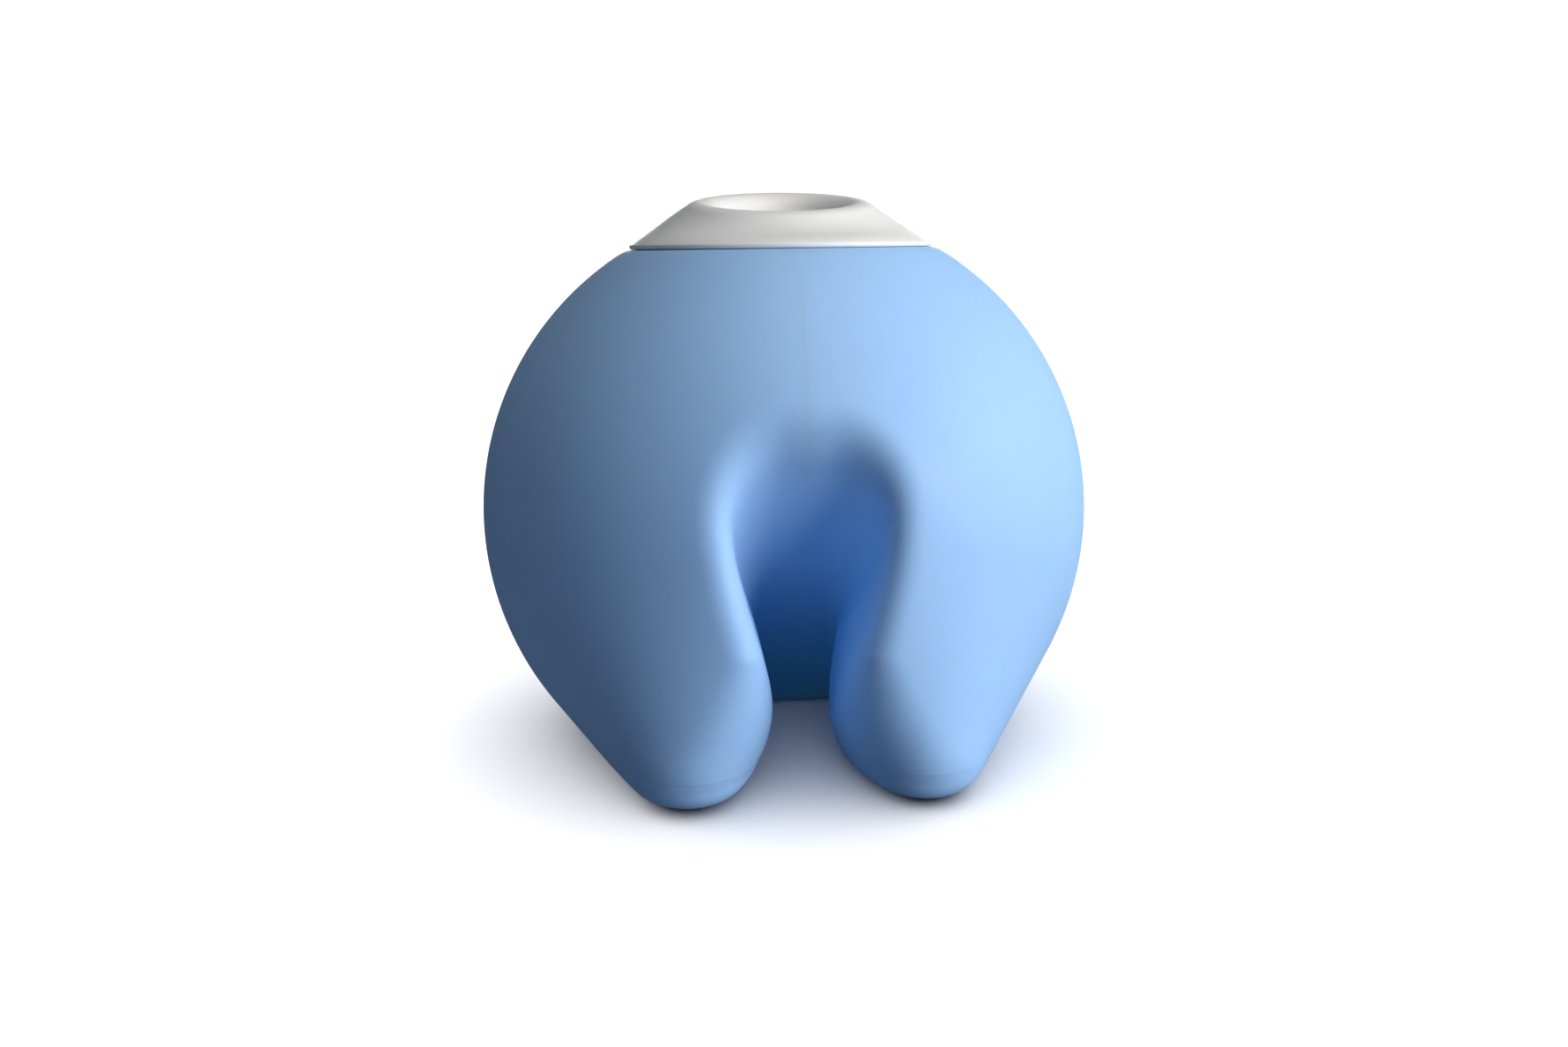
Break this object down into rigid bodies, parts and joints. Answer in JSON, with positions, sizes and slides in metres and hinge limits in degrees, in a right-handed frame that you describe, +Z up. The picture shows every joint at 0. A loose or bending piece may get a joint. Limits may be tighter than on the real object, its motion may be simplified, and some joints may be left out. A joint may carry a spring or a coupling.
{
  "type": "pipette filler bulb",
  "caption": "Hollow silicone ball on a flat base, with a finger notch between two legs and a dished nose cap that grips a pipette; squeezing the legs draws liquid.",
  "frame": {"origin": "on the base plane, under the centre of the ball", "axes": "+Z up along the pipette socket, the notch opens towards -Y, +X is the object's right half"},
  "size_m": [0.0608, 0.0603, 0.0544],
  "materials": {
    "bulb": "matt moulded silicone",
    "cap": "satin moulded plastic",
    "seal": "soft silicone",
    "inner_plastic": "moulded plastic",
    "gasket": "matt rubber",
    "filter": "porous membrane"
  },
  "bodies": {
    "bulb": {"bulb_crown": "bulb", "bulb_web": "bulb", "neck_ring": "inner_plastic"},
    "left_half": {"left_lobe": "bulb"},
    "right_half": {"right_lobe": "bulb"},
    "cap": {"nose_cap": "cap", "neck_seal": "gasket", "pipette_seal": "seal", "seal_retainer": "inner_plastic", "filter_gasket": "gasket", "filter_disc": "filter", "filter_holder": "inner_plastic"}
  },
  "joints": [
    {"name": "left_squeeze", "type": "hinge", "parent": "bulb", "child": "left_half", "pos_m": [-0.012, 0, 0.047], "axis": [0, -1, 0], "range_deg": [0, 3.2], "stiffness_Nm_per_rad": 2, "deforming": ["bulb_web"]},
    {"name": "right_squeeze", "type": "hinge", "parent": "bulb", "child": "right_half", "pos_m": [0.012, 0, 0.047], "axis": [0, 1, 0], "range_deg": [0, 3.2], "stiffness_Nm_per_rad": 2, "deforming": ["bulb_web"]},
    {"name": "cap_pull", "type": "slide", "parent": "bulb", "child": "cap", "axis": [0, 0, 1], "range_m": [0, 0.01]}
  ],
  "couplings": [
    {"joint": "right_squeeze", "follows": "left_squeeze", "ratio": 1}
  ]
}
